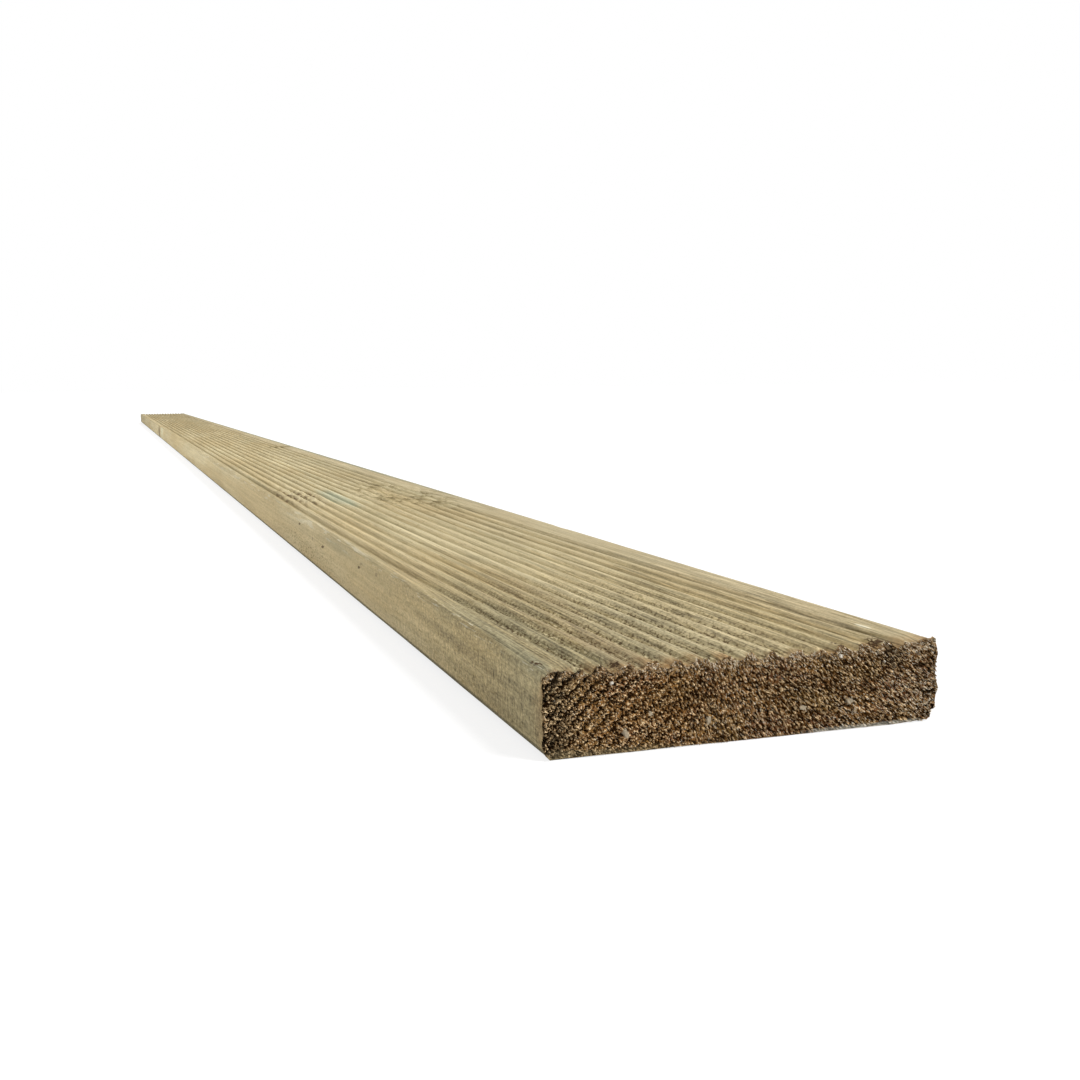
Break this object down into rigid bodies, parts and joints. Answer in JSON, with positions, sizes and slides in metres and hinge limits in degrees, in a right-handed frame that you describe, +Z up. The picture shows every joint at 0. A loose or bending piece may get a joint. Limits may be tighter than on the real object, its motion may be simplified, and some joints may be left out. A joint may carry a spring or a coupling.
{
  "type": "decking board",
  "caption": "Long flat softwood decking board with rounded arrises, a rounded wave of lengthwise grooves along its top face, a plain underside and square sawn ends.",
  "frame": {"origin": "middle of the flat underside, half way along the board and half way across it", "axes": "+X across the board, +Y along it, +Z up through the grooved face"},
  "size_m": [0.14, 4.2, 0.028],
  "materials": {
    "treated_softwood": "planed and pressure treated, matt"
  },
  "bodies": {
    "root": {"decking_board": "treated_softwood"}
  },
  "joints": []
}
